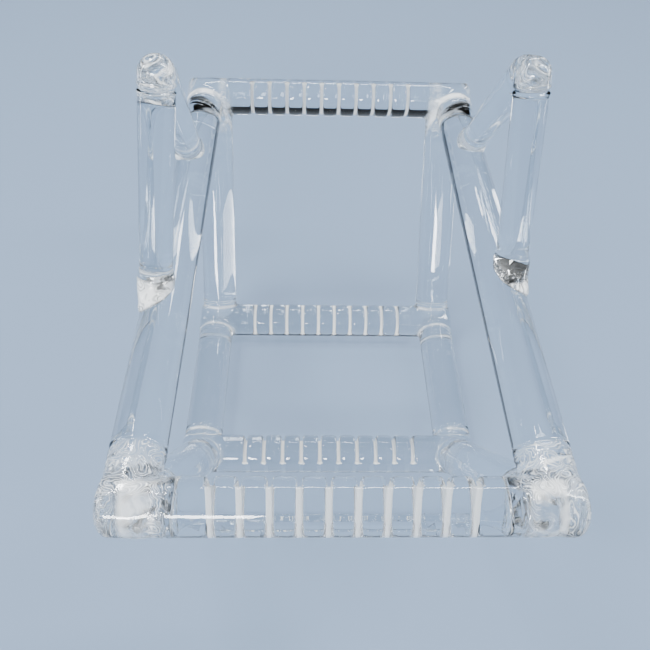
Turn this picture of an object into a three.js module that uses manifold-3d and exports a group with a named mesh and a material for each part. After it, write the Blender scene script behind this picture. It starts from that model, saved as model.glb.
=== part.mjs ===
// Fused-quartz wafer carrier. Four slotted bars hold ten upright discs on one circle, two rails and
// two slanted struts on each side join the bars, and an inverted-V handle stands on each upper rail.
// Millimetres, +Z up, +X along the bars, +Y to the rear, origin on the floor under the middle.
import * as THREE from 'three';
import { mergeVertices } from 'three/addons/utils/BufferGeometryUtils.js';
import Module from 'manifold-3d';

const wasm = await Module();
wasm.setup();

// glass rods
const frameRadius = 6;
const handleRadius = 4;
const frameSides = 24;
const handleSides = 16;
const clearance = 0.3;

// wafers and their slots
const waferRadius = 75;
const waferPlay = 0.25;
const slotCount = 10;
const slotPitch = 6;
const slotWidth = 1.4;
const slotDepth = 5.35;
const mouthWidth = 2.3;
const mouthDepth = 1.2;

// the bars stand on one circle round the wafers' axis, at these angles below the horizontal
const topBarAngle = THREE.MathUtils.degToRad(3.25);
const bottomBarAngle = THREE.MathUtils.degToRad(67.87);
const barCircle = waferRadius + waferPlay + frameRadius - slotDepth;
const waferHeight = frameRadius + barCircle * Math.sin(bottomBarAngle);
// the front top bar sits rolled in its welds, its slots turned down from the line to the wafers' axis
const frontTopRoll = THREE.MathUtils.degToRad(12.75);
const topBarHalf = 49.5;
const bottomBarHalf = 48;

// distance of each side member from the middle plane
const upperRailX = 43.2;
const lowerRailX = 41.5;
const frontStrutX = 41;
const rearStrutX = 40.5;

// how far each corner weld reaches along the members that it joins
const weldInnerX = 33;
const topWeldReach = 14;
const bottomWeldReach = 8.5;
const topWeldSwell = 0.3;
const cornerSwell = 0.5;
const endChamfer = 1.5;

// Handles: hand-built, so each side has its own places along the rail. The legs' axes cross at the
// apex; the melted crown is centred crownDrop down the front leg and rearDrop down the rear one.
const handles = {
  left: {
    frontFootY: -21.3, rearFootY: 37.2, apexX: 39.3, apexY: -4.5,
    crownDrop: 1.1, rearDrop: 3, rearReach: 7.8,
  },
  right: {
    frontFootY: -13.6, rearFootY: 43.8, apexX: 41.4, apexY: 2.5,
    crownDrop: 2.6, rearDrop: 6, rearReach: 10.4,
  },
};
const apexZ = 125.1;
const frontFootX = 45.2;
const rearFootX = 43.9;
const footAboveRail = 4.2;
const frontReach = 7.8;
const footWeldReach = 8.6;
const footSwell = { front: 0.9, rear: 0.8 };
const footToe = { front: 2.6, rear: 1.6 };
const apexSwell = 0.15;

const quartz = { color: 0xe9f0f4, roughness: 0.06, metalness: 0 };
const sawnQuartz = { color: 0xf2f5f6, roughness: 0.35, metalness: 0 };
const weldedQuartz = { color: 0xe2eaf0, roughness: 0.12, metalness: 0 };

const yAxis = new THREE.Vector3(0, 1, 0);
const group = new THREE.Group();
group.name = 'wafer_carrier';

// A faceted rod on the local Y axis from 0 to length; each flat is the true radius from the axis,
// and flats face straight up, down and to the sides.
function rodGeometry(length, radius, sides, startChamfer = 0, finishChamfer = 0) {
  const corner = radius / Math.cos(Math.PI / sides);
  const profile = [new THREE.Vector2(0, 0)];
  if (startChamfer > 0) {
    profile.push(new THREE.Vector2(corner - startChamfer, 0));
  }
  profile.push(new THREE.Vector2(corner, startChamfer));
  profile.push(new THREE.Vector2(corner, length - finishChamfer));
  if (finishChamfer > 0) {
    profile.push(new THREE.Vector2(corner - finishChamfer, length));
  }
  profile.push(new THREE.Vector2(0, length));
  return new THREE.LatheGeometry(profile, sides, Math.PI / sides);
}

function rodBetween(from, to, radius, sides, startChamfer = 0, finishChamfer = 0) {
  const along = to.clone().sub(from);
  const geometry = rodGeometry(along.length(), radius, sides, startChamfer, finishChamfer);
  const turn = new THREE.Quaternion().setFromUnitVectors(yAxis, along.normalize());
  return geometry.applyQuaternion(turn).translate(from.x, from.y, from.z);
}

function ballAt(centre, radius) {
  return new THREE.SphereGeometry(radius, 16, 10).translate(centre.x, centre.y, centre.z);
}

function toSolid(geometry) {
  const bare = geometry.index ? geometry.toNonIndexed() : geometry.clone();
  bare.deleteAttribute('normal');
  bare.deleteAttribute('uv');
  const merged = mergeVertices(bare, 1e-4);
  const mesh = new wasm.Mesh({
    numProp: 3,
    vertProperties: new Float32Array(merged.attributes.position.array),
    triVerts: new Uint32Array(merged.index.array),
  });
  return new wasm.Manifold(mesh);
}

function fromSolid(solid) {
  const mesh = solid.getMesh();
  const geometry = new THREE.BufferGeometry();
  geometry.setAttribute('position', new THREE.BufferAttribute(mesh.vertProperties, 3));
  geometry.setIndex(new THREE.BufferAttribute(mesh.triVerts, 1));
  geometry.computeVertexNormals();
  return geometry;
}

function joined(geometries) {
  return geometries.map(toSolid).reduce((whole, piece) => whole.add(piece));
}

function addPiece(name, geometry, finish, place = new THREE.Vector3()) {
  const mesh = new THREE.Mesh(geometry, new THREE.MeshStandardMaterial(finish));
  mesh.name = name;
  mesh.position.copy(place);
  group.add(mesh);
}

function addRod(name, from, to, radius, sides) {
  const along = to.clone().sub(from);
  const geometry = rodGeometry(along.length(), radius, sides);
  const mesh = new THREE.Mesh(geometry, new THREE.MeshStandardMaterial(quartz));
  mesh.name = name;
  mesh.position.copy(from);
  mesh.quaternion.setFromUnitVectors(yAxis, along.normalize());
  group.add(mesh);
}

function pointAlong(from, to, distance) {
  return to.clone().sub(from).normalize().multiplyScalar(distance).add(from);
}

// One slot: parallel sawn walls and a flared mouth, cut in the given direction.
function slotCutter(x, towardWafer) {
  const straight = slotDepth - mouthDepth;
  const outline = new THREE.Shape();
  outline.moveTo(-slotWidth / 2, 0);
  outline.lineTo(slotWidth / 2, 0);
  outline.lineTo(slotWidth / 2, straight);
  outline.lineTo(mouthWidth / 2, slotDepth);
  outline.lineTo(mouthWidth / 2, slotDepth + 1);
  outline.lineTo(-mouthWidth / 2, slotDepth + 1);
  outline.lineTo(-mouthWidth / 2, slotDepth);
  outline.lineTo(-slotWidth / 2, straight);
  const across = 2 * frameRadius + 2;
  const cutter = new THREE.ExtrudeGeometry(outline, { depth: across, bevelEnabled: false });
  cutter.translate(0, frameRadius - slotDepth, -across / 2);
  const xAxis = new THREE.Vector3(1, 0, 0);
  const sideways = xAxis.clone().cross(towardWafer);
  const basis = new THREE.Matrix4().makeBasis(xAxis, towardWafer, sideways);
  return cutter.applyMatrix4(basis).translate(x, 0, 0);
}

function slottedBar(towardWafer) {
  const half = weldInnerX - clearance;
  const from = new THREE.Vector3(-half, 0, 0);
  const to = new THREE.Vector3(half, 0, 0);
  let bar = toSolid(rodBetween(from, to, frameRadius, frameSides));
  for (let i = 0; i < slotCount; i += 1) {
    const x = (i - (slotCount - 1) / 2) * slotPitch;
    bar = bar.subtract(toSolid(slotCutter(x, towardWafer)));
  }
  return fromSolid(bar);
}

// bar centres, seen from the side: front is -Y
function barCentre(front, angle) {
  const y = (front ? -1 : 1) * barCircle * Math.cos(angle);
  return new THREE.Vector3(0, y, waferHeight - barCircle * Math.sin(angle));
}

const waferAxis = new THREE.Vector3(0, 0, waferHeight);
const bars = {
  front_top: { centre: barCentre(true, topBarAngle), front: true, top: true, roll: frontTopRoll },
  front_bottom: { centre: barCentre(true, bottomBarAngle), front: true, top: false },
  rear_bottom: { centre: barCentre(false, bottomBarAngle), front: false, top: false },
  rear_top: { centre: barCentre(false, topBarAngle), front: false, top: true },
};

for (const [name, bar] of Object.entries(bars)) {
  const towardWafer = waferAxis.clone().sub(bar.centre).normalize();
  towardWafer.applyAxisAngle(new THREE.Vector3(1, 0, 0), -(bar.roll ?? 0));
  addPiece(`${name}_slotted_bar`, slottedBar(towardWafer), sawnQuartz, bar.centre);
}

function at(bar, x) {
  return new THREE.Vector3(x, bar.centre.y, bar.centre.z);
}

// The melted lump at a bar's end: the ends of the bar, the rail and the strut, swollen together.
function cornerWeld(bar, side, railX, strutX, otherRailEnd, otherStrutEnd) {
  const swell = bar.top ? topWeldSwell : 0;
  const reach = bar.top ? topWeldReach : bottomWeldReach;
  const halfLength = bar.top ? topBarHalf : bottomBarHalf;
  const radius = frameRadius + swell;
  const railStart = at(bar, side * railX);
  const strutStart = at(bar, side * strutX);
  const pieces = [
    rodBetween(at(bar, side * weldInnerX), at(bar, side * halfLength), radius, frameSides, 0, endChamfer),
    rodBetween(railStart, pointAlong(railStart, otherRailEnd, reach), radius, frameSides),
    rodBetween(strutStart, pointAlong(strutStart, otherStrutEnd, reach), radius, frameSides),
  ];
  if (bar.top) {
    pieces.push(ballAt(at(bar, side * (halfLength - frameRadius - cornerSwell)), frameRadius + cornerSwell));
  }
  return fromSolid(joined(pieces));
}

// The side frames: corner welds, then the free lengths of the rails and struts between them.
for (const [sideName, side] of [['left', -1], ['right', 1]]) {
  const { front_top, front_bottom, rear_bottom, rear_top } = bars;
  const corners = [
    ['front_top', front_top, upperRailX, frontStrutX, rear_top, front_bottom],
    ['front_bottom', front_bottom, lowerRailX, frontStrutX, rear_bottom, front_top],
    ['rear_bottom', rear_bottom, lowerRailX, rearStrutX, front_bottom, rear_top],
    ['rear_top', rear_top, upperRailX, rearStrutX, front_top, rear_bottom],
  ];
  for (const [name, bar, railX, strutX, railBar, strutBar] of corners) {
    const railEnd = at(railBar, side * railX);
    const strutEnd = at(strutBar, side * strutX);
    const weld = cornerWeld(bar, side, railX, strutX, railEnd, strutEnd);
    addPiece(`${name}_${sideName}_weld`, weld, weldedQuartz);
  }
  const spans = [
    ['upper_rail', front_top, rear_top, upperRailX, topWeldReach, topWeldReach],
    ['lower_rail', front_bottom, rear_bottom, lowerRailX, bottomWeldReach, bottomWeldReach],
    ['front_strut', front_bottom, front_top, frontStrutX, bottomWeldReach, topWeldReach],
    ['rear_strut', rear_bottom, rear_top, rearStrutX, bottomWeldReach, topWeldReach],
  ];
  for (const [name, startBar, endBar, x, startReach, endReach] of spans) {
    const start = at(startBar, side * x);
    const end = at(endBar, side * x);
    const from = pointAlong(start, end, startReach + clearance);
    const to = pointAlong(end, start, endReach + clearance);
    addRod(`${sideName}_${name}`, from, to, frameRadius, frameSides);
  }
}

// A melted collar at a handle's foot, shaped to the rail under it and run out into a toe to the front.
function footWeld(foot, apex, rail, swell, toeReach) {
  const start = pointAlong(foot, apex, -2);
  const collar = ballAt(pointAlong(foot, apex, 2.6), handleRadius + swell);
  const toe = ballAt(pointAlong(foot, apex, 0.8).sub(new THREE.Vector3(0, toeReach, 0)), handleRadius + 0.3);
  const stub = rodBetween(start, pointAlong(foot, apex, footWeldReach), handleRadius + 0.3, handleSides);
  return fromSolid(joined([collar, toe, stub]).subtract(toSolid(rail)));
}

for (const [sideName, side] of [['left', -1], ['right', 1]]) {
  const handle = handles[sideName];
  const railZ = bars.front_top.centre.z;
  const footZ = railZ + footAboveRail;
  const apex = new THREE.Vector3(side * handle.apexX, handle.apexY, apexZ);
  const feet = {
    front: new THREE.Vector3(side * frontFootX, handle.frontFootY, footZ),
    rear: new THREE.Vector3(side * rearFootX, handle.rearFootY, footZ),
  };
  const railAxis = [
    new THREE.Vector3(side * upperRailX, -topBarHalf, railZ),
    new THREE.Vector3(side * upperRailX, topBarHalf + 10, railZ),
  ];
  const railRoom = rodBetween(...railAxis, frameRadius + clearance, frameSides);
  for (const [end, foot] of Object.entries(feet)) {
    const weld = footWeld(foot, apex, railRoom, footSwell[end], footToe[end]);
    addPiece(`${sideName}_handle_${end}_foot_weld`, weld, weldedQuartz);
    const from = pointAlong(foot, apex, footWeldReach + clearance);
    const reach = end === 'front' ? frontReach : handle.rearReach;
    const to = pointAlong(apex, foot, reach + clearance);
    addRod(`${sideName}_handle_${end}_leg`, from, to, handleRadius, handleSides);
  }
  const crownCentre = pointAlong(apex, feet.front, handle.crownDrop);
  const rearCentre = pointAlong(apex, feet.rear, handle.rearDrop);
  const crown = joined([
    ballAt(crownCentre, handleRadius + apexSwell),
    ballAt(rearCentre, handleRadius),
    rodBetween(crownCentre, pointAlong(apex, feet.front, frontReach), handleRadius, handleSides),
    rodBetween(rearCentre, pointAlong(apex, feet.rear, handle.rearReach), handleRadius, handleSides),
  ]);
  addPiece(`${sideName}_handle_apex_weld`, fromSolid(crown), weldedQuartz);
}

export default group;
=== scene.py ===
import math

import bmesh
import bpy
import numpy as np
from mathutils import Matrix, Vector


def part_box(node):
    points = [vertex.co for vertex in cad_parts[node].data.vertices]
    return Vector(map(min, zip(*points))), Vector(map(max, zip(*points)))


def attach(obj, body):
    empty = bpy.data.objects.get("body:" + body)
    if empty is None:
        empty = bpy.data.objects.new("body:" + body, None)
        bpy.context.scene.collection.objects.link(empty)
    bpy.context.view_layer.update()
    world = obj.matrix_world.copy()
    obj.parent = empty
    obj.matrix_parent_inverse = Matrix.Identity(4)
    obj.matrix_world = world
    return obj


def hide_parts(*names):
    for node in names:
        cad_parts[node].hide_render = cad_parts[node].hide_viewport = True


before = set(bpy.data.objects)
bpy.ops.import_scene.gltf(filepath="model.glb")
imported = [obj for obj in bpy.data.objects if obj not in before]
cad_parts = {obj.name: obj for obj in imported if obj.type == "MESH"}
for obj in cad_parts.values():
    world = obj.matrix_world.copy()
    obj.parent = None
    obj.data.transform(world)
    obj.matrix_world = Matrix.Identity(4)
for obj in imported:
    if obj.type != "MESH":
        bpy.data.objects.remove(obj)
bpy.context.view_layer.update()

mm = 0.001
print("frame loaded:", len(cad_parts), "nodes")

sides = {"left": -1, "right": 1}
corners = ["front_top", "front_bottom", "rear_bottom", "rear_top"]
gap = 0.3       # mm left between fused neighbours in the frame, closed again here
scene = bpy.context.scene


def hexColour(text):
    # sRGB hex to the linear colour that shaders take
    parts = [int(text[i:i + 2], 16) / 255 for i in (0, 2, 4)]
    linear = [c / 12.92 if c <= 0.04045 else ((c + 0.055) / 1.055) ** 2.4 for c in parts]
    return linear + [1.0]


def addNode(tree, kind, settings=None, links=None):
    node = tree.nodes.new(kind)
    for key, value in (settings or {}).items():
        if isinstance(key, int) or key in node.inputs:
            node.inputs[key].default_value = value
        else:
            setattr(node, key, value)
    for key, socket in (links or {}).items():
        tree.links.new(socket, node.inputs[key])
    return node


def setRamp(node, stops):
    ramp = node.color_ramp
    while len(ramp.elements) < len(stops):
        ramp.elements.new(0.5)
    for element, (place, shade) in zip(ramp.elements, stops):
        element.position = place
        element.color = (shade, shade, shade, 1)


def newMaterial(name):
    material = bpy.data.materials.new(name)
    material.use_nodes = True
    material.node_tree.nodes.clear()
    return material, material.node_tree


# how much light glass lets past: most where it faces the light, least at its rim
shadowShape = {"face": 0.96, "shoulder": 0.9, "shoulderAt": 0.55, "rimAt": 0.95}


# Lamps and soft light reach what stands behind the glass, and the rim of a rod still casts a shadow.
def finishGlass(tree, surface, rimShade):
    path = addNode(tree, "ShaderNodeLightPath")
    softOrLamp = addNode(tree, "ShaderNodeMath", {"operation": "MAXIMUM"},
                         {0: path.outputs["Is Shadow Ray"], 1: path.outputs["Is Diffuse Ray"]})
    rim = addNode(tree, "ShaderNodeLayerWeight", {"Blend": 0.5})
    shade = addNode(tree, "ShaderNodeValToRGB", links={"Fac": rim.outputs["Facing"]})
    setRamp(shade, [(0.0, shadowShape["face"]), (shadowShape["shoulderAt"], shadowShape["shoulder"]),
                    (shadowShape["rimAt"], rimShade)])
    clear = addNode(tree, "ShaderNodeBsdfTransparent", links={"Color": shade.outputs["Color"]})
    mix = addNode(tree, "ShaderNodeMixShader",
                  links={0: softOrLamp.outputs[0], 1: surface, 2: clear.outputs[0]})
    addNode(tree, "ShaderNodeOutputMaterial", links={"Surface": mix.outputs[0]})


quartz = {
    "tint": "fafdff",
    "ior": 1.458,           # fused silica
    "roughness": 0.0,
    "drawLinePitch": 0.9,    # mm round the rod between draw lines
    "drawLineDepth": 0.004,  # mm
    "rimShade": 0.35,        # of the light that gets through a rod's rim
}


# Drawn fused-quartz rod: water clear, with faint lines along its length that make the reflections waver.
def drawnQuartz():
    material, tree = newMaterial("clearDrawnQuartz")
    place = addNode(tree, "ShaderNodeAttribute", {"attribute_name": "drawn"})
    lines = addNode(tree, "ShaderNodeTexNoise",
                    {"Scale": 1 / quartz["drawLinePitch"], "Detail": 2.0, "Roughness": 0.6},
                    {"Vector": place.outputs["Vector"]})
    bump = addNode(tree, "ShaderNodeBump", {"Strength": 1.0, "Distance": quartz["drawLineDepth"] * mm},
                   {"Height": lines.outputs["Fac"]})
    glass = addNode(tree, "ShaderNodeBsdfPrincipled",
                    {"Base Color": hexColour(quartz["tint"]), "Roughness": quartz["roughness"],
                     "IOR": quartz["ior"], "Transmission Weight": 1.0},
                    {"Normal": bump.outputs["Normal"]})
    finishGlass(tree, glass.outputs[0], quartz["rimShade"])
    return material


melt = {
    "tint": "f6fafc",
    "roughness": 0.0,
    "warp": 1.6,            # mm, how far the stirring carries a layer
    "warpSize": 4.0,        # mm
    "eddySize": 6.0,        # mm, one eddy of the melt
    "layerDepth": 0.045,    # mm
    "veinFade": 0.19,       # from clear to milky, as a share of the layers' noise
    "cloudSize": 5.5,       # mm, one patch of smooth haze
    "cloudFrom": 0.32,      # the clouds' noise where haze starts, and where it is full
    "cloudTo": 0.62,
    "rimShade": 0.3,
}
# how white a vein gets, partly the real milkiness of fine bubbles and partly painted highlight (diffuse
# white that stands in for bright light refracted through the melt); layers are met across one eddy, and
# veins start at veinEdge
meltKinds = {
    "milkAndHighlightMeltedQuartz": {"milkAndHighlight": 0.8, "layers": 46.0, "veinEdge": 0.47},
    "clearMeltedQuartz": {"milkAndHighlight": 0.25, "layers": 46.0, "veinEdge": 0.47},
    "milkAndHighlightPooledQuartz": {"milkAndHighlight": 0.92, "layers": 20.0, "veinEdge": 0.40},
}


# Flame-melted quartz: clear glass stirred into agate-like layers, with milky veins of fine bubbles, whose
# white is made stronger than the milk alone as painted highlight standing in for light refracted through
# the melt.
# The mesh says with its "stir" values where the flame worked it, 0 still to 1 fully stirred, and with
# its "haze" values where the melt clouded over evenly.
def meltedQuartz(name):
    kind = meltKinds[name]
    material, tree = newMaterial(name)
    place = addNode(tree, "ShaderNodeTexCoord")
    stir = addNode(tree, "ShaderNodeAttribute", {"attribute_name": "stir"})
    drift = addNode(tree, "ShaderNodeTexNoise",
                    {"Scale": 1 / (melt["warpSize"] * mm), "Detail": 2.0},
                    {"Vector": place.outputs["Object"]})
    centred = addNode(tree, "ShaderNodeVectorMath", {"operation": "SUBTRACT", 1: (0.5, 0.5, 0.5)},
                      {0: drift.outputs["Color"]})
    carried = addNode(tree, "ShaderNodeVectorMath",
                      {"operation": "SCALE", "Scale": 2 * melt["warp"] * mm},
                      {0: centred.outputs[0]})
    warped = addNode(tree, "ShaderNodeVectorMath", {"operation": "ADD"},
                     {0: place.outputs["Object"], 1: carried.outputs[0]})
    eddies = addNode(tree, "ShaderNodeTexNoise",
                     {"Scale": 1 / (melt["eddySize"] * mm), "Detail": 1.0, "Roughness": 0.4},
                     {"Vector": warped.outputs[0]})
    across = addNode(tree, "ShaderNodeMath", {"operation": "MULTIPLY", 1: kind["layers"]},
                     {0: eddies.outputs["Fac"]})
    layers = addNode(tree, "ShaderNodeTexNoise",
                     {"noise_dimensions": "1D", "Scale": 1.0, "Detail": 2.0, "Roughness": 0.55},
                     {"W": across.outputs[0]})
    veins = addNode(tree, "ShaderNodeMapRange",
                    {"From Min": kind["veinEdge"], "From Max": kind["veinEdge"] + melt["veinFade"],
                     "To Min": 0.0, "To Max": kind["milkAndHighlight"]},
                    {"Value": layers.outputs["Fac"]})
    veined = addNode(tree, "ShaderNodeMath", {"operation": "MULTIPLY"},
                     {0: veins.outputs[0], 1: stir.outputs["Fac"]})
    haze = addNode(tree, "ShaderNodeAttribute", {"attribute_name": "haze"})
    cloud = addNode(tree, "ShaderNodeTexNoise",
                    {"Scale": 1 / (melt["cloudSize"] * mm), "Detail": 2.0, "Roughness": 0.55,
                     "Distortion": 0.6},
                    {"Vector": warped.outputs[0]})
    patches = addNode(tree, "ShaderNodeMapRange",
                      {"From Min": melt["cloudFrom"], "From Max": melt["cloudTo"]},
                      {"Value": cloud.outputs["Fac"]})
    # white share of the glass: haze clouds plus veins, and the veins' white is partly painted highlight
    # standing in for refracted light
    milkAndPaintedHighlight = addNode(tree, "ShaderNodeMath", {"operation": "MULTIPLY_ADD", "use_clamp": True},
                    {0: patches.outputs[0], 1: haze.outputs["Fac"], 2: veined.outputs[0]})
    clear = addNode(tree, "ShaderNodeMath", {"operation": "SUBTRACT", 0: 1.0}, {1: milkAndPaintedHighlight.outputs[0]})
    height = addNode(tree, "ShaderNodeMath", {"operation": "MULTIPLY"},
                     {0: layers.outputs["Fac"], 1: stir.outputs["Fac"]})
    bump = addNode(tree, "ShaderNodeBump", {"Strength": 1.0, "Distance": melt["layerDepth"] * mm},
                   {"Height": height.outputs[0]})
    glass = addNode(tree, "ShaderNodeBsdfPrincipled",
                    {"Base Color": hexColour(melt["tint"]), "Roughness": melt["roughness"],
                     "IOR": quartz["ior"]},
                    {"Normal": bump.outputs["Normal"], "Transmission Weight": clear.outputs[0]})
    finishGlass(tree, glass.outputs[0], melt["rimShade"])
    return material


sawn = {
    "tint": "fbfdfc",
    "darkest": 0.9,       # of the tint, between the grains
    "roughness": 0.6,
    "clear": 0.12,        # share of light that still goes through
    "grit": 0.12,         # mm, coarser than a real saw's grit so that it shows
    "gritDepth": 0.02,    # mm
    "rimShade": 0.5,
}


# Diamond-sawn quartz: a fine ground face that scatters light and reads as white frost.
def sawnQuartz():
    material, tree = newMaterial("frostedSawnQuartz")
    place = addNode(tree, "ShaderNodeTexCoord")
    grit = addNode(tree, "ShaderNodeTexNoise",
                   {"Scale": 1 / (sawn["grit"] * mm), "Detail": 2.0},
                   {"Vector": place.outputs["Object"]})
    tone = addNode(tree, "ShaderNodeMapRange", {"To Min": sawn["darkest"], "To Max": 1.0},
                   {"Value": grit.outputs["Fac"]})
    colour = addNode(tree, "ShaderNodeMix",
                     {"data_type": "RGBA", "blend_type": "MULTIPLY", 0: 1.0, 6: hexColour(sawn["tint"])},
                     {7: tone.outputs[0]})
    bump = addNode(tree, "ShaderNodeBump", {"Strength": 0.5, "Distance": sawn["gritDepth"] * mm},
                   {"Height": grit.outputs["Fac"]})
    frost = addNode(tree, "ShaderNodeBsdfPrincipled",
                    {"Roughness": sawn["roughness"], "IOR": quartz["ior"],
                     "Transmission Weight": sawn["clear"]},
                    {"Base Color": colour.outputs[2], "Normal": bump.outputs["Normal"]})
    finishGlass(tree, frost.outputs[0], sawn["rimShade"])
    return material


# Where two pieces are fused there is no surface at all, so light goes straight through.
def fusedJoint():
    material, tree = newMaterial("fusedInnerJoint")
    clear = addNode(tree, "ShaderNodeBsdfTransparent")
    addNode(tree, "ShaderNodeOutputMaterial", links={"Surface": clear.outputs[0]})
    return material


clearGlass = drawnQuartz()
sawnGlass = sawnQuartz()
jointGlass = fusedJoint()
milkAndHighlightMelt = meltedQuartz("milkAndHighlightMeltedQuartz")
clearMelt = meltedQuartz("clearMeltedQuartz")
pooledMelt = meltedQuartz("milkAndHighlightPooledQuartz")
print("materials made")


# The melted shapes are distance fields in millimetres, below nought inside the glass.
# This one is a smooth random lattice of that cell size, from -1 to 1.
def softNoise(points, size, seed):
    table = np.random.RandomState(seed).uniform(-1, 1, 4096)
    scaled = points / size
    cell = np.floor(scaled).astype(np.int64)
    part = scaled - cell
    part = part * part * (3 - 2 * part)
    total = np.zeros(len(points))
    for corner in np.ndindex(2, 2, 2):
        at = cell + corner
        key = (at[:, 0] * 73856093) ^ (at[:, 1] * 19349663) ^ (at[:, 2] * 83492791)
        weight = np.prod(np.where(np.array(corner) == 1, part, 1 - part), axis=1)
        total += weight * table[key & 4095]
    return total


def alongAndOut(points, start, end):
    axis = end - start
    length = np.linalg.norm(axis)
    axis = axis / length
    offset = points - start
    along = offset @ axis
    out = np.linalg.norm(offset - along[:, None] * axis, axis=1)
    return along, out, length


def capsule(points, start, end, radius):
    along, out, length = alongAndOut(points, start, end)
    beyond = along - np.clip(along, 0, length)
    return np.hypot(out, beyond) - radius


def roundedRod(points, start, end, radius, edge):
    along, out, length = alongAndOut(points, start, end)
    side = out - (radius - edge)
    tip = np.abs(along - length / 2) - (length / 2 - edge)
    outside = np.hypot(np.maximum(side, 0), np.maximum(tip, 0))
    return outside + np.minimum(np.maximum(side, tip), 0) - edge


def smoothJoin(a, b, fillet):
    h = np.maximum(fillet - np.abs(a - b), 0) / fillet
    return np.minimum(a, b) - h * h * fillet / 4


def smoothCut(a, b, fillet):
    return -smoothJoin(-a, b, fillet)


# width is in mm; the raised edges stand edgeAt widths off, edge times as high as the pinch is deep
ring = {"width": 0.42, "edge": 0.55, "edgeAt": 1.7}


# Fine rings round a rod where it was fused on: a pinch at each place with a raised edge to both sides.
def pinches(along, places, depth):
    total = np.zeros(len(along))
    for place in places:
        off = (along - place) / ring["width"]
        raised = ring["edge"] * np.exp(-(np.abs(off) - ring["edgeAt"]) ** 2)
        total += depth * (raised - np.exp(-off ** 2))
    return total


def fadeIn(distance, reach):
    t = np.clip(distance / reach, 0, 1)
    return t * t * (3 - 2 * t)


# One vertex in each grid cell that the surface crosses, one quad across each grid edge that it crosses.
def meshFromField(axes, field):
    grid = np.stack(np.meshgrid(*axes, indexing="ij"), -1)
    shape = np.array(grid.shape[:3])
    value = field(grid.reshape(-1, 3)).reshape(shape)
    total = np.zeros(tuple(shape - 1) + (3,))
    count = np.zeros(tuple(shape - 1))
    index = np.stack(np.indices(shape), -1).astype(float)
    crossings = []
    for axis in range(3):
        low = [slice(None)] * 3
        high = [slice(None)] * 3
        low[axis] = slice(0, -1)
        high[axis] = slice(1, None)
        a = value[tuple(low)]
        b = value[tuple(high)]
        crossed = (a < 0) != (b < 0)
        share = np.where(crossed, a / np.where(crossed, a - b, 1), 0)
        place = index[tuple(low)].copy()
        place[..., axis] += share
        second, third = (axis + 1) % 3, (axis + 2) % 3
        for shiftSecond, shiftThird in np.ndindex(2, 2):
            part = [slice(None)] * 3
            for other, shift in ((second, shiftSecond), (third, shiftThird)):
                part[other] = slice(shift, shape[other] - 1 + shift)
            here = crossed[tuple(part)]
            total += np.where(here[..., None], place[tuple(part)], 0)
            count += here
        crossings.append((axis, second, third, crossed, a < 0))
    active = count > 0
    number = np.full(active.shape, -1)
    number[active] = np.arange(active.sum())
    middle = total[active] / count[active][:, None]
    points = np.stack([np.interp(middle[:, k], np.arange(shape[k]), axes[k]) for k in range(3)], -1)
    faces = []
    for axis, second, third, crossed, outward in crossings:
        at = np.argwhere(crossed)
        inner = (at[:, second] > 0) & (at[:, third] > 0)
        inner &= (at[:, second] < shape[second] - 1) & (at[:, third] < shape[third] - 1)
        at = at[inner]
        around = []
        for backSecond, backThird in ((1, 1), (0, 1), (0, 0), (1, 0)):
            cell = at.copy()
            cell[:, second] -= backSecond
            cell[:, third] -= backThird
            around.append(number[cell[:, 0], cell[:, 1], cell[:, 2]])
        quads = np.stack(around, -1)
        facing = outward[at[:, 0], at[:, 1], at[:, 2]]
        quads[~facing] = quads[~facing][:, ::-1]
        faces.append(quads)
    return points, np.concatenate(faces)


# Moves each vertex onto the surface itself, at most reach mm at a time.
def snapToField(points, field, reach=0.25):
    step = 0.02
    flattest = 0.05
    for _ in range(3):
        value = field(points)
        slope = np.stack([(field(points + step * unit) - field(points - step * unit)) / (2 * step)
                          for unit in np.eye(3)], -1)
        size = np.maximum((slope ** 2).sum(1), flattest)
        move = -(value / size)[:, None] * slope
        far = np.maximum(np.linalg.norm(move, axis=1) / reach, 1)
        points = points + move / far[:, None]
    return points


def meshObject(name, points, faces, materials):
    mesh = bpy.data.meshes.new(name)
    mesh.from_pydata((np.asarray(points) * mm).tolist(), [], [list(map(int, f)) for f in faces])
    for material in materials:
        mesh.materials.append(material)
    mesh.polygons.foreach_set("use_smooth", [True] * len(mesh.polygons))
    piece = bpy.data.objects.new(name, mesh)
    scene.collection.objects.link(piece)
    return piece


# Cuts a mesh off at a plane and closes it with a flat face of the given material.
def cutAndCap(shape, point, outward, capMaterial):
    everything = shape.verts[:] + shape.edges[:] + shape.faces[:]
    cut = bmesh.ops.bisect_plane(shape, geom=everything, dist=1e-7, clear_outer=True,
                                 plane_co=Vector(point) * mm, plane_no=Vector(outward))
    rim = [e for e in cut["geom_cut"] if isinstance(e, bmesh.types.BMEdge)]
    for edge in rim:
        edge.smooth = False
    made = bmesh.ops.edgeloop_fill(shape, edges=rim)
    for face in made["faces"]:
        face.material_index = capMaterial
        face.smooth = False
        face.normal_update()
        if face.normal.dot(Vector(outward)) < 0:
            face.normal_flip()


def finishPiece(piece, nodes):
    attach(piece, "root")
    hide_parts(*nodes)


def crossAxes(axis):
    helper = np.array([0, 0, 1.0]) if abs(axis[2]) < 0.9 else np.array([0, 1.0, 0])
    first = np.cross(helper, axis)
    first /= np.linalg.norm(first)
    return first, np.cross(axis, first)


drawStretch = 50    # how much longer than wide a draw line is


# How a rod was drawn, for its lines: place across it in mm, and place along it, much shortened.
def markDrawn(piece, start, axis):
    first, second = crossAxes(axis)
    offset = np.array([v.co for v in piece.data.vertices]) / mm - start
    drawn = np.stack([offset @ first, offset @ second, (offset @ axis) / drawStretch], -1)
    attribute = piece.data.attributes.new("drawn", "FLOAT_VECTOR", "POINT")
    attribute.data.foreach_set("vector", drawn.astype(np.float32).ravel())


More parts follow.
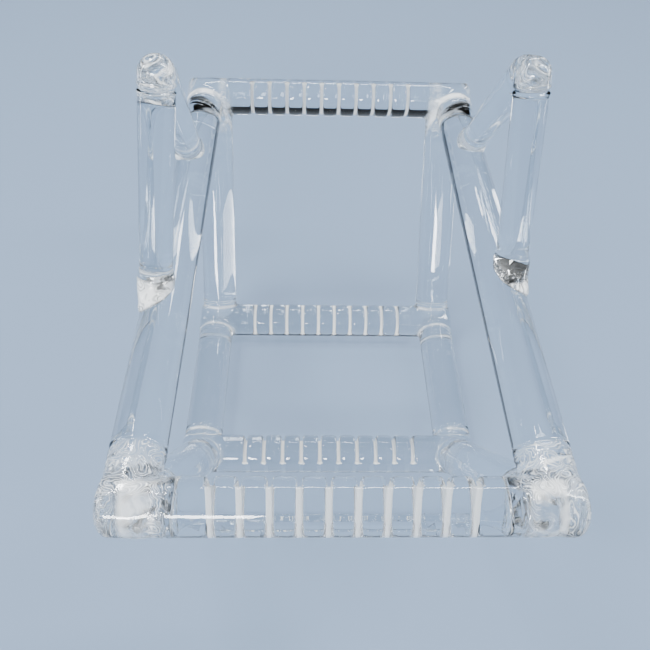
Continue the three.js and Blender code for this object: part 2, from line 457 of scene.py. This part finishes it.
# Ends of a straight rod of the frame, found from its own end rings, in mm.
def rodOf(node):
    points = np.array([v.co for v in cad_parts[node].data.vertices]) / mm
    points = np.unique(np.round(points, 4), axis=0)
    centre = points.mean(0)
    axis = np.linalg.eigh(np.cov((points - centre).T))[1][:, -1]
    along = (points - centre) @ axis
    start = points[along < along.min() + 0.01].mean(0)
    end = points[along > along.max() - 0.01].mean(0)
    if start[1] + start[2] > end[1] + end[2]:
        start, end = end, start
    axis = (end - start) / np.linalg.norm(end - start)
    return start - gap * axis, end + gap * axis, axis


rodSizes = {
    "frameRadius": 6.0,
    "handleRadius": 4.0,
    "ringStep": 1.0,
    "frameSides": 96,
    "handleSides": 72,
    "waver": 0.015,      # mm, how far a drawn rod strays from round
    "waverTurn": 2,      # lattice cells from a rod's axis to its skin
    "waverLength": 25,   # mm, along the rod
    "calmEnd": 4,        # mm over which the waver fades out at an end
}


def makeRod(node, radius, ringSides):
    start, end, axis = rodOf(node)
    first, second = crossAxes(axis)
    length = np.linalg.norm(end - start)
    ringCount = int(length / rodSizes["ringStep"]) + 2
    along = np.linspace(0, length, ringCount)
    turn = np.arange(ringSides) * 2 * math.pi / ringSides
    out = np.cos(turn)[:, None] * first + np.sin(turn)[:, None] * second
    seed = sum(map(ord, node))
    points = []
    for place in along:
        sample = np.stack([np.cos(turn) * rodSizes["waverTurn"], np.sin(turn) * rodSizes["waverTurn"],
                           np.full(ringSides, place / rodSizes["waverLength"])], -1)
        fade = fadeIn(min(place, length - place), rodSizes["calmEnd"])
        reach = radius + rodSizes["waver"] * fade * softNoise(sample, 1, seed)
        points.append(start + place * axis + out * reach[:, None])
    points = np.concatenate(points)
    faces = []
    for level in range(ringCount - 1):
        for k in range(ringSides):
            after = (k + 1) % ringSides
            low = level * ringSides
            faces.append([low + k, low + after, low + ringSides + after, low + ringSides + k])
    piece = meshObject(node + "_glass", points, faces, [clearGlass, jointGlass])
    closeEnds(piece)
    markDrawn(piece, start, axis)
    finishPiece(piece, [node])


# Both open ends get a flat face that marks where the rod runs on into its weld.
def closeEnds(piece, capMaterial=1):
    shape = bmesh.new()
    shape.from_mesh(piece.data)
    rim = [e for e in shape.edges if e.is_boundary]
    for edge in rim:
        edge.smooth = False
    made = bmesh.ops.holes_fill(shape, edges=rim, sides=0)
    for face in made["faces"]:
        face.material_index = capMaterial
        face.smooth = False
    bmesh.ops.recalc_face_normals(shape, faces=shape.faces)
    shape.to_mesh(piece.data)
    shape.free()


def makeRods():
    for side in sides:
        for name in ("upper_rail", "lower_rail", "front_strut", "rear_strut"):
            makeRod(f"{side}_{name}", rodSizes["frameRadius"], rodSizes["frameSides"])
        for name in ("handle_front_leg", "handle_rear_leg"):
            makeRod(f"{side}_{name}", rodSizes["handleRadius"], rodSizes["handleSides"])


makeRods()
print("rods made")

bar = {
    "slotCount": 10,
    "slotPitch": 6.0,
    "slotWidth": 1.4,
    "slotDepth": 5.35,
    "floorRound": 0.55,
    "lipRadius": 1.0,      # the flame pulls each edge of a mouth into a round lip
    "neckWidth": 1.0,      # between the two lips
    "edgeRound": 0.3,
    "frostTo": 5.0,        # mm from the bar's axis, the sawn faces are frosted up to the lips
    "frostNear": 0.15,     # mm off the slot's own faces that still count as sawn
    "fineStep": 0.17,      # grid steps in mm: in the slot, beside it and across the bar
    "coarseStep": 0.5,
    "crossStep": 0.29,
}
slotRoll = {"front_top": -12.75}    # degrees from the line to the wafers' axis


def barCentre(corner):
    low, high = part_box(corner + "_slotted_bar")
    return (np.array(low) + np.array(high)) / 2 / mm


# Below nought inside the slot; the second coordinate points the way that the slot opens.
def slotField(points):
    side = np.abs(points[:, 0])
    out = np.hypot(points[:, 1], points[:, 2])
    radius = rodSizes["frameRadius"]
    level = radius - bar["slotDepth"]
    lip = bar["neckWidth"] / 2 + bar["lipRadius"]
    lipLine = radius - bar["lipRadius"]
    kerf = side - bar["slotWidth"] / 2
    mouth = np.maximum(side - lip, lipLine - out)
    beads = np.hypot(side - lip, out - lipLine) - bar["lipRadius"]
    walls = np.maximum(np.minimum(kerf, mouth), -beads)
    soft = bar["floorRound"]
    inner = walls + soft
    floor = level + soft - points[:, 1]
    outside = np.hypot(np.maximum(inner, 0), np.maximum(floor, 0))
    return outside + np.minimum(np.maximum(inner, floor), 0) - soft


def slotBayField(points):
    whole = np.hypot(points[:, 1], points[:, 2]) - rodSizes["frameRadius"]
    return smoothCut(whole, slotField(points), bar["edgeRound"])


# One bay of a bar, one pitch long with its slot in the middle, and open at both ends.
def makeBay():
    half = bar["slotPitch"] / 2
    reach = bar["neckWidth"] / 2 + bar["lipRadius"] + 0.15
    fine = np.arange(0, reach, bar["fineStep"]) + bar["fineStep"] / 2
    coarseCount = max(2, round((half - fine[-1]) / bar["coarseStep"]))
    coarse = np.linspace(fine[-1], half, coarseCount + 1)[1:]
    last = coarse[-1] - coarse[-2]
    outer = np.concatenate([coarse[:-1], [half - last / 2, half + last / 2]])
    xs = np.concatenate([-outer[::-1], -fine[::-1], fine, outer])
    xs = np.unique(np.round(xs, 6))
    span = rodSizes["frameRadius"] + 0.45
    across = np.linspace(-span, span, int(2 * span / bar["crossStep"]))
    points, faces = meshFromField([xs, across, across], slotBayField)
    points = snapToField(points, slotBayField)
    # keep the bay's two open rims on its end planes
    rim = np.abs(points[:, 0]) > half - last / 2
    points[rim, 0] = np.sign(points[rim, 0]) * half
    bay = meshObject("slot_bay", points, faces, [clearGlass])
    centres = points[faces].mean(1)
    out = np.hypot(centres[:, 1], centres[:, 2])
    near = bar["frostNear"]
    inKerf = (np.abs(centres[:, 0]) < bar["slotWidth"] / 2 + 0.1) & (slotField(centres) < near)
    nearFloor = centres[:, 1] < rodSizes["frameRadius"] - bar["slotDepth"] + 0.5
    frosted = inKerf & ((out < bar["frostTo"]) | (nearFloor & (out < rodSizes["frameRadius"] - near)))
    attribute = bay.data.attributes.new("sawn", "BOOLEAN", "FACE")
    attribute.data.foreach_set("value", frosted)
    return bay


# Repeats a slot bay along a bar, welds the bays into one skin and gives the sawn faces their frost.
def slotTree():
    tree = bpy.data.node_groups.new("slotsAlongBar", "GeometryNodeTree")
    face = tree.interface
    face.new_socket("Bay", in_out="INPUT", socket_type="NodeSocketGeometry")
    face.new_socket("Slot Count", in_out="INPUT", socket_type="NodeSocketInt")
    face.new_socket("Slot Pitch", in_out="INPUT", socket_type="NodeSocketFloat")
    face.new_socket("Clear Glass", in_out="INPUT", socket_type="NodeSocketMaterial")
    face.new_socket("Sawn Glass", in_out="INPUT", socket_type="NodeSocketMaterial")
    face.new_socket("Bar", in_out="OUTPUT", socket_type="NodeSocketGeometry")
    given = addNode(tree, "NodeGroupInput")
    lastSlot = addNode(tree, "ShaderNodeMath", {"operation": "SUBTRACT", 1: 1.0},
                       {0: given.outputs["Slot Count"]})
    reach = addNode(tree, "ShaderNodeMath", {"operation": "MULTIPLY"},
                    {0: lastSlot.outputs[0], 1: given.outputs["Slot Pitch"]})
    firstPlace = addNode(tree, "ShaderNodeMath", {"operation": "MULTIPLY", 1: -0.5},
                         {0: reach.outputs[0]})
    start = addNode(tree, "ShaderNodeCombineXYZ", links={"X": firstPlace.outputs[0]})
    step = addNode(tree, "ShaderNodeCombineXYZ", links={"X": given.outputs["Slot Pitch"]})
    places = addNode(tree, "GeometryNodeMeshLine", {"mode": "OFFSET"},
                     {"Count": given.outputs["Slot Count"], "Start Location": start.outputs[0],
                      "Offset": step.outputs[0]})
    bays = addNode(tree, "GeometryNodeInstanceOnPoints",
                   links={"Points": places.outputs[0], "Instance": given.outputs["Bay"]})
    real = addNode(tree, "GeometryNodeRealizeInstances", links={"Geometry": bays.outputs[0]})
    skin = addNode(tree, "GeometryNodeMergeByDistance", {"Distance": 0.01 * mm},
                   {"Geometry": real.outputs[0]})
    whole = addNode(tree, "GeometryNodeSetMaterial",
                    links={"Geometry": skin.outputs[0], "Material": given.outputs["Clear Glass"]})
    isSawn = addNode(tree, "GeometryNodeInputNamedAttribute", {"data_type": "BOOLEAN", "Name": "sawn"})
    frosted = addNode(tree, "GeometryNodeSetMaterial",
                      links={"Geometry": whole.outputs[0], "Selection": isSawn.outputs["Attribute"],
                             "Material": given.outputs["Sawn Glass"]})
    addNode(tree, "NodeGroupOutput", links={"Bar": frosted.outputs[0]})
    return tree


def applyTree(piece, tree, values):
    modifier = piece.modifiers.new(tree.name, "NODES")
    modifier.node_group = tree
    for item in tree.interface.items_tree:
        if item.item_type == "SOCKET" and item.in_out == "INPUT" and item.name in values:
            modifier[item.identifier] = values[item.name]
    bpy.context.view_layer.update()
    evaluated = piece.evaluated_get(bpy.context.evaluated_depsgraph_get())
    mesh = bpy.data.meshes.new_from_object(evaluated)
    piece.modifiers.remove(modifier)
    return mesh


def makeSlottedBars():
    bay = makeBay()
    tree = slotTree()
    values = {"Slot Count": bar["slotCount"], "Slot Pitch": bar["slotPitch"] * mm,
              "Clear Glass": clearGlass, "Sawn Glass": sawnGlass}
    slotted = applyTree(bay, tree, values)
    bpy.data.objects.remove(bay)
    waferAxis = wafersAxis()
    for corner in corners:
        node = corner + "_slotted_bar"
        mesh = slotted.copy()
        mesh.name = node + "_glass"
        mesh.materials.append(jointGlass)
        piece = bpy.data.objects.new(node + "_glass", mesh)
        scene.collection.objects.link(piece)
        centre = barCentre(corner)
        low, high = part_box(node)
        halfBar = (high.x - low.x) / 2 / mm + gap
        lengthenBar(piece, halfBar)
        closeEnds(piece, capMaterial=len(mesh.materials) - 1)
        toWafer = waferAxis - centre
        toWafer[0] = 0
        toWafer = Vector(toWafer).normalized()
        toWafer.rotate(Matrix.Rotation(math.radians(slotRoll.get(corner, 0)), 3, "X"))
        toWafer = np.array(toWafer)
        basis = Matrix(np.stack([[1, 0, 0], toWafer, np.cross([1, 0, 0], toWafer)], -1).tolist())
        piece.data.transform(Matrix.Translation(Vector(centre) * mm) @ basis.to_4x4())
        piece.data.polygons.foreach_set("use_smooth", [True] * len(piece.data.polygons))
        markDrawn(piece, centre, np.array([1.0, 0, 0]))
        finishPiece(piece, [node])


# The wafers' axis is where the lines through the bars' slots meet: equally far from all four bars.
def wafersAxis():
    top = barCentre("front_top")
    bottom = barCentre("front_bottom")
    height = (top[1] ** 2 + top[2] ** 2 - bottom[1] ** 2 - bottom[2] ** 2) / (2 * (top[2] - bottom[2]))
    return np.array([0, 0, height])


# The plain ends of a bar, from the last bay to the weld.
def lengthenBar(piece, halfBar):
    shape = bmesh.new()
    shape.from_mesh(piece.data)
    slottedHalf = bar["slotCount"] * bar["slotPitch"] / 2
    for side in (-1, 1):
        for step in np.linspace(slottedHalf, halfBar, 5)[1:]:
            rim = [e for e in shape.edges if e.is_boundary and e.verts[0].co.x * side > 0]
            made = bmesh.ops.extrude_edge_only(shape, edges=rim)
            for vert in made["geom"]:
                if isinstance(vert, bmesh.types.BMVert):
                    vert.co.x = side * step * mm
    shape.to_mesh(piece.data)
    shape.free()


makeSlottedBars()
print("slotted bars made")


# Rings, the milky veins with their painted highlight, and haze are placed in mm from the bar's axis,
# along the rail or the strut. barRing is placed from the bar's seam, and hazeSpan from the middle of the
# carrier.
bottomCorner = {
    "lump": 0.10, "ripple": 0.015, "endEdge": 2.2, "glass": clearMelt, "cell": 0.4,
    "railRings": [6.4, 7.6], "strutRings": [6.2, 7.5], "barRing": 6.0,
    "milkAndHighlight": (4.5, 7.5), "haze": 0.85, "railHaze": (5.4, 7.4), "hazeSpan": (30, 60),
    "strutHaze": (5.2, 7.0),
}
cornerShapes = {
    "front_top": {
        "lump": 0.16, "ripple": 0.035, "endEdge": 2.8, "glass": milkAndHighlightMelt, "cell": 0.33,
        "railRings": [11.9], "strutRings": [12.3], "barRing": 2.4,
        "milkAndHighlight": (-1.5, 12.4), "haze": 0.6, "railHaze": (-8.0, 3.5), "hazeSpan": (36.0, 44.5),
    },
    "front_bottom": bottomCorner,
    "rear_bottom": bottomCorner,
    "rear_top": {
        "lump": 0.10, "ripple": 0.02, "endEdge": 1.6, "glass": milkAndHighlightMelt, "cell": 0.36,
        "railRings": [8.4], "strutRings": [9.5], "barRing": 3.0,
        "milkAndHighlight": (5.0, 9.0), "haze": 1.0, "railHaze": (4.6, 8.2), "hazeSpan": (30, 60),
    },
}
meltShape = {
    "barFillet": 1.5,
    "strutFillet": 1.3,
    "railRootIn": 2.5,    # mm from the bar's axis to the round end of a rail or a strut in the melt
    "strutRootIn": 2.0,
    "endPull": 0.6,       # mm by which the melt draws a bar's end in
    "lumpSize": 4.2,
    "eddySize": 5.0,
    "eddyLines": 3.2,
    "ringDepth": 0.16,
    "seamStir": 0.8,      # how far the bar's seam and its outer end are stirred
    "endStir": 0.7,
    "endFrom": 46.3,      # mm from the middle of the carrier
    "leastStir": 0.05,
    "calm": 2.5,          # mm from a joint over which the lumps fade out
    "still": 0.3,         # mm from a joint with no lumps at all
}


def calmAtJoints(points, planes):
    calm = np.ones(len(points))
    for place, outward in planes:
        calm *= fadeIn((place - points) @ outward - meltShape["still"], meltShape["calm"])
    return calm


# How far the melt stands out from plain rods, nought at each joint with a rod.
def stirred(points, shape, planes, stirAt, seed):
    lumps = shape["lump"] * softNoise(points, meltShape["lumpSize"], seed)
    eddies = softNoise(points, meltShape["eddySize"], seed + 1)
    ripples = shape["ripple"] * np.sin(2 * math.pi * meltShape["eddyLines"] * eddies)
    return calmAtJoints(points, planes) * (lumps + ripples * stirAt(points))


def boxAxes(low, high, cell):
    return [np.arange(low[k] - 1.5 * cell, high[k] + 2.5 * cell, cell) for k in range(3)]


# Meshes a weld and cuts it off where its rods go on. low and high are the box to mesh in.
def makeMelt(node, field, stirAt, hazeAt, low, high, planes, glass, cell):
    points, faces = meshFromField(boxAxes(low, high, cell), field)
    points = snapToField(points, field)
    piece = meshObject(node + "_glass", points, faces, [glass, jointGlass])
    calm = calmAtJoints(points, planes)
    for name, valueAt in (("stir", stirAt), ("haze", hazeAt)):
        attribute = piece.data.attributes.new(name, "FLOAT", "POINT")
        attribute.data.foreach_set("value", (valueAt(points) * calm).astype(np.float32))
    shape = bmesh.new()
    shape.from_mesh(piece.data)
    for place, outward in planes:
        cutAndCap(shape, place, outward, 1)
    shape.to_mesh(piece.data)
    shape.free()
    finishPiece(piece, [node])


# The rod's end next to a place, and the way the rod leaves from there.
def nearerEnd(node, place):
    start, end, axis = rodOf(node)
    if np.linalg.norm(start - place) < np.linalg.norm(end - place):
        return start, axis
    return end, -axis


def makeCornerMelt(corner, side, number):
    node = f"{corner}_{side}_weld"
    shape = cornerShapes[corner]
    sign = sides[side]
    low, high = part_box(node)
    low, high = np.array(low) / mm, np.array(high) / mm
    centre = barCentre(corner)
    radius = rodSizes["frameRadius"]
    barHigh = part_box(corner + "_slotted_bar")[1]
    barEnd = np.array([sign * (barHigh.x / mm + gap), centre[1], centre[2]])
    tip = np.array([high[0] if sign > 0 else low[0], centre[1], centre[2]])
    level = "upper" if "top" in corner else "lower"
    end = "front" if "front" in corner else "rear"
    railEnd, railWay = nearerEnd(f"{side}_{level}_rail", tip)
    strutEnd, strutWay = nearerEnd(f"{side}_{end}_strut", tip)
    planes = [(barEnd, np.array([-sign, 0, 0.0])), (railEnd, railWay), (strutEnd, strutWay)]
    railRoot = np.array([railEnd[0], centre[1], centre[2]]) + meltShape["railRootIn"] * railWay
    strutRoot = np.array([strutEnd[0], centre[1], centre[2]]) + meltShape["strutRootIn"] * strutWay
    tip[0] -= sign * meltShape["endPull"]

    def stirAt(points):
        # worked hardest where the rail runs in, round the bar's own seam and on the outer end
        along = (points - centre) @ railWay
        nearest, farthest = shape["milkAndHighlight"]
        atRail = fadeIn(along - nearest, 3.0) * fadeIn(farthest - along, 0.8)
        pastSeam = sign * points[:, 0] - abs(barEnd[0]) - shape["barRing"]
        atSeam = meltShape["seamStir"] * fadeIn(1.9 - np.abs(pastSeam - 1.2), 1.2)
        atEnd = meltShape["endStir"] * fadeIn(sign * points[:, 0] - meltShape["endFrom"], 1.5)
        return np.clip(np.maximum(np.maximum(atRail, atSeam), atEnd), meltShape["leastStir"], 1)

    def hazeAt(points):
        along = (points - centre) @ railWay
        out = sign * points[:, 0]
        inner, outer = shape["hazeSpan"]
        across = fadeIn(out - inner, 1.5) * fadeIn(outer - out, 1.5)
        nearest, farthest = shape["railHaze"]
        haze = fadeIn(along - nearest, 1.0) * fadeIn(farthest - along, 1.0)
        if "strutHaze" in shape:
            nearest, farthest = shape["strutHaze"]
            along = (points - centre) @ strutWay
            haze = np.maximum(haze, fadeIn(along - nearest, 0.9) * fadeIn(farthest - along, 0.9))
        return shape["haze"] * across * haze

    def field(points):
        depth = meltShape["ringDepth"]
        rod = roundedRod(points, barEnd - np.array([sign * 5, 0, 0]), tip, radius, shape["endEdge"])
        rod = rod - pinches(sign * points[:, 0] - abs(barEnd[0]), [shape["barRing"]], depth)
        rail = capsule(points, railRoot, railEnd + 5 * railWay, radius)
        rail = rail - pinches((points - centre) @ railWay, shape["railRings"], depth)
        strut = capsule(points, strutRoot, strutEnd + 5 * strutWay, radius)
        strut = strut - pinches((points - centre) @ strutWay, shape["strutRings"], depth)
        members = smoothJoin(rail, strut, meltShape["strutFillet"])
        whole = smoothJoin(members, rod, meltShape["barFillet"])
        whole = whole - stirred(points, shape, planes, stirAt, 100 + number)
        return np.maximum(whole, -points[:, 2])

    makeMelt(node, field, stirAt, hazeAt, low - 1, high + 1, planes, shape["glass"], shape["cell"])


def makeCornerMelts():
    number = 0
    for corner in corners:
        for side in sides:
            makeCornerMelt(corner, side, number)
            number += 1


makeCornerMelts()
print("corner welds made")

# All in mm. The milky collar of a foot ends seam above the place where the leg's axis meets the rail.
apexShape = {
    "lump": 0.08, "ripple": 0.05, "glass": milkAndHighlightMelt, "cell": 0.3, "fillet": 0.7,
    "crownDrop": {"left": 0.5, "right": 2.6},    # of the crown's centre, down the front leg
    "rearDrop": {"left": 3.0, "right": 6.0},     # of the rear leg's own round end
    "crownToSeam": {"left": 2.9, "right": 3.1},
    "seamDepth": 0.34,
    "patchWay": (-0.84, -0.50, 0.20),            # from the crown's centre to its milky patch, inwards
    "patchFrom": 2.9,
    "patchStir": 0.8,
    "leastStir": 0.02,
}
footShapes = {
    "front": {"lump": 0.14, "ripple": 0.02, "glass": pooledMelt, "collar": 4.2,
              "toe": {"left": 4.2, "right": 5.4}, "seam": {"left": 4.6, "right": 0.9},
              "haze": 0.5, "clearTo": 12.0},
    "rear": {"lump": 0.16, "ripple": 0.02, "glass": pooledMelt, "collar": 4.3,
             "toe": {"left": 3.4, "right": 3.6}, "seam": {"left": 4.6, "right": 3.6},
             "haze": 1.0, "clearTo": 1.4},
}
footShape = {
    "cell": 0.3,
    "aboveRail": 4.2,      # from the rail's axis to the foot
    "kneeUp": 3.4,         # from the foot up to the top of the swollen collar
    "toeDown": 1.0,
    "toeFillet": 1.5,
    "collarFillet": 1.0,
    "seamDepth": 0.2,
    "hangs": 1.5,          # at most, below the rail's axis
    "railFillet": 0.4,
    "railGap": 0.03,
    "leastStir": 0.05,
}


def makeApexMelt(side, number):
    node = f"{side}_handle_apex_weld"
    shape = apexShape
    low, high = (np.array(c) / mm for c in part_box(node))
    top = np.array([(low[0] + high[0]) / 2, (low[1] + high[1]) / 2, high[2]])
    frontEnd, frontWay = nearerEnd(f"{side}_handle_front_leg", top)
    rearEnd, rearWay = nearerEnd(f"{side}_handle_rear_leg", top)
    planes = [(frontEnd, frontWay), (rearEnd, rearWay)]
    # the legs' axes cross at the apex
    ways = np.stack([frontWay, -rearWay], -1)
    reach = np.linalg.lstsq(ways, rearEnd - frontEnd, rcond=None)[0]
    apex = (frontEnd + reach[0] * frontWay + rearEnd + reach[1] * rearWay) / 2
    crown = apex + shape["crownDrop"][side] * frontWay
    rearTop = apex + shape["rearDrop"][side] * rearWay
    radius = rodSizes["handleRadius"]
    seam = shape["crownToSeam"][side]
    patchWay = np.array(shape["patchWay"]) * (sides[side], 1, 1)

    def stirAt(points):
        # worked hardest in one patch on the inner side, above the seam
        patch = fadeIn((points - crown) @ patchWay - shape["patchFrom"], 0.9)
        aboveSeam = fadeIn(seam - 0.5 - (points - crown) @ frontWay, 0.5)
        return shape["leastStir"] + shape["patchStir"] * patch * aboveSeam

    def hazeAt(points):
        return np.zeros(len(points))

    def field(points):
        front = capsule(points, crown, frontEnd + 4 * frontWay, radius)
        front = front - pinches((points - crown) @ frontWay, [seam], shape["seamDepth"])
        rear = capsule(points, rearTop, rearEnd + 4 * rearWay, radius)
        whole = smoothJoin(front, rear, shape["fillet"])
        return whole - stirred(points, shape, planes, stirAt, 200 + number)

    makeMelt(node, field, stirAt, hazeAt, low - 1, high + 1, planes, shape["glass"], shape["cell"])


def makeFootMelt(side, end, number):
    node = f"{side}_handle_{end}_foot_weld"
    shape = footShapes[end]
    low, high = (np.array(c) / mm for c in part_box(node))
    middle = (low + high) / 2
    legEnd, legWay = nearerEnd(f"{side}_handle_{end}_leg", middle)
    railStart, railEnd = rodOf(f"{side}_upper_rail")[:2]
    planes = [(legEnd, legWay)]
    radius = rodSizes["handleRadius"]
    # the leg's axis runs down into the top of the rail
    footHeight = railStart[2] + footShape["aboveRail"]
    foot = legEnd - (legEnd[2] - footHeight) / legWay[2] * legWay
    knee = foot + footShape["kneeUp"] * legWay
    toe = foot + np.array([0, -shape["toe"][side], -footShape["toeDown"]])
    seam = shape["seam"][side]

    def onSkin(points):
        # the face that is fused to the rail stays clear behind its front edge
        railOut = alongAndOut(points, railStart, railEnd)[1]
        offRail = fadeIn(railOut - rodSizes["frameRadius"] - 0.2, 0.5)
        return np.maximum(offRail, fadeIn(foot[1] - shape["clearTo"] - points[:, 1], 1.0))

    def stirAt(points):
        least = footShape["leastStir"]
        return least + (1 - least) * fadeIn(seam - (points - foot) @ legWay, 0.5) * onSkin(points)

    def hazeAt(points):
        return shape["haze"] * fadeIn(seam - 0.5 - (points - foot) @ legWay, 0.8) * onSkin(points)

    def field(points):
        leg = capsule(points, foot - 5 * legWay, legEnd + 4 * legWay, radius)
        leg = leg - pinches((points - foot) @ legWay, [seam], footShape["seamDepth"])
        collar = capsule(points, foot - 4 * legWay, knee, shape["collar"])
        collar = smoothJoin(collar, capsule(points, knee, toe, radius - 0.1), footShape["toeFillet"])
        whole = smoothJoin(leg, collar, footShape["collarFillet"])
        whole = whole - stirred(points, shape, planes, stirAt, 300 + number)
        # nothing hangs below the rail's own flanks
        whole = np.maximum(whole, railStart[2] - footShape["hangs"] - points[:, 2])
        rail = capsule(points, railStart, railEnd, rodSizes["frameRadius"] + footShape["railGap"])
        return smoothCut(whole, rail, footShape["railFillet"])

    makeMelt(node, field, stirAt, hazeAt, low - 1.5, high + 1.5, planes, shape["glass"],
             footShape["cell"])


def makeHandleMelts():
    number = 0
    for side in sides:
        makeApexMelt(side, number)
        for end in ("front", "rear"):
            makeFootMelt(side, end, number)
            number += 1


makeHandleMelts()
print("handle welds made")

floorLook = {"tone": "8da0b9", "size": 1.1, "gap": 0.05, "roughness": 0.75}    # size in metres, gap in mm


def makeFloor():
    half = floorLook["size"] / 2 / mm
    under = -floorLook["gap"]
    piece = meshObject("studio_floor", [(-half, -half, under), (half, -half, under),
                                        (half, half, under), (-half, half, under)], [(0, 1, 2, 3)], [])
    material, tree = newMaterial("matteStudioPaper")
    paper = addNode(tree, "ShaderNodeBsdfPrincipled",
                    {"Base Color": hexColour(floorLook["tone"]), "Roughness": floorLook["roughness"],
                     "Specular IOR Level": 0.2})
    addNode(tree, "ShaderNodeOutputMaterial", links={"Surface": paper.outputs[0]})
    piece.data.materials.append(material)


lamps = {
    "ceilingLeft": {"place": (-0.35, 0.30, 0.85), "size": (0.16, 0.16), "power": 4.5},
    "ceilingRight": {"place": (0.55, 0.05, 0.75), "size": (0.07, 0.40), "power": 3.5},
    "front": {"place": (-0.25, -0.85, 0.50), "size": (0.36, 0.16), "power": 9.0},
    "rear": {"place": (0.15, 0.80, 0.80), "size": (0.70, 0.06), "power": 3.0},
    "leftStrip": {"place": (-0.80, 0.05, 0.28), "size": (0.05, 0.90), "power": 1.8},
    "rightStrip": {"place": (0.80, 0.05, 0.34), "size": (0.05, 0.90), "power": 1.8},
}
# the room past the table is dim, so the glass gets dark edges; seen directly it is the pale backdrop
room = {"backdrop": "97a8be", "brightness": 1.25, "horizon": 0.015, "middle": 0.10, "top": 0.40}
aimHeight = 0.05    # metres, where every lamp points


def makeLamps():
    for name, lamp in lamps.items():
        light = bpy.data.lights.new(name, "AREA")
        light.shape = "RECTANGLE"
        light.size, light.size_y = lamp["size"]
        light.energy = lamp["power"]
        holder = bpy.data.objects.new(name, light)
        holder.location = lamp["place"]
        aim = Vector((0, 0, aimHeight)) - Vector(lamp["place"])
        holder.rotation_euler = aim.to_track_quat("-Z", "Y").to_euler()
        scene.collection.objects.link(holder)
    world = bpy.data.worlds.new("softStudio")
    world.use_nodes = True
    tree = world.node_tree
    tree.nodes.clear()
    way = addNode(tree, "ShaderNodeTexCoord")
    parts = addNode(tree, "ShaderNodeSeparateXYZ", links={0: way.outputs["Generated"]})
    fade = addNode(tree, "ShaderNodeValToRGB", links={"Fac": parts.outputs["Z"]})
    setRamp(fade, [(0.0, room["horizon"]), (0.45, room["middle"]), (1.0, room["top"])])
    dim = addNode(tree, "ShaderNodeBackground", {"Strength": 1.0}, {"Color": fade.outputs["Color"]})
    pale = addNode(tree, "ShaderNodeBackground",
                   {"Color": hexColour(room["backdrop"]), "Strength": room["brightness"]})
    path = addNode(tree, "ShaderNodeLightPath")
    light = addNode(tree, "ShaderNodeMixShader",
                    links={0: path.outputs["Is Camera Ray"], 1: dim.outputs[0], 2: pale.outputs[0]})
    addNode(tree, "ShaderNodeOutputWorld", links={"Surface": light.outputs[0]})
    scene.world = world


view = {
    "place": (-0.00823, -0.12920, 0.19371),
    "right": (0.99945, -0.01393, 0.03002),
    "ahead": (0.03200, 0.63772, -0.76960),
    "lens": 35.18,
}


def makeCamera():
    camera = bpy.data.cameras.new("camera")
    camera.lens = view["lens"]
    camera.sensor_width = 36
    camera.clip_start = 0.01
    holder = bpy.data.objects.new("camera", camera)
    ahead = Vector(view["ahead"]).normalized()
    right = Vector(view["right"]).normalized()
    up = right.cross(ahead)
    turn = Matrix((right, up, -ahead)).transposed()
    holder.matrix_world = Matrix.Translation(view["place"]) @ turn.to_4x4()
    scene.collection.objects.link(holder)
    scene.camera = holder


makeFloor()
makeLamps()
makeCamera()
# a ray crosses many walls of glass before it leaves the carrier
scene.cycles.max_bounces = 24
scene.cycles.transmission_bounces = 24
scene.cycles.glossy_bounces = 8
scene.cycles.transparent_max_bounces = 40
scene.cycles.caustics_reflective = False
scene.view_settings.look = "AgX - Medium High Contrast"
print("floor, lamps and camera made")
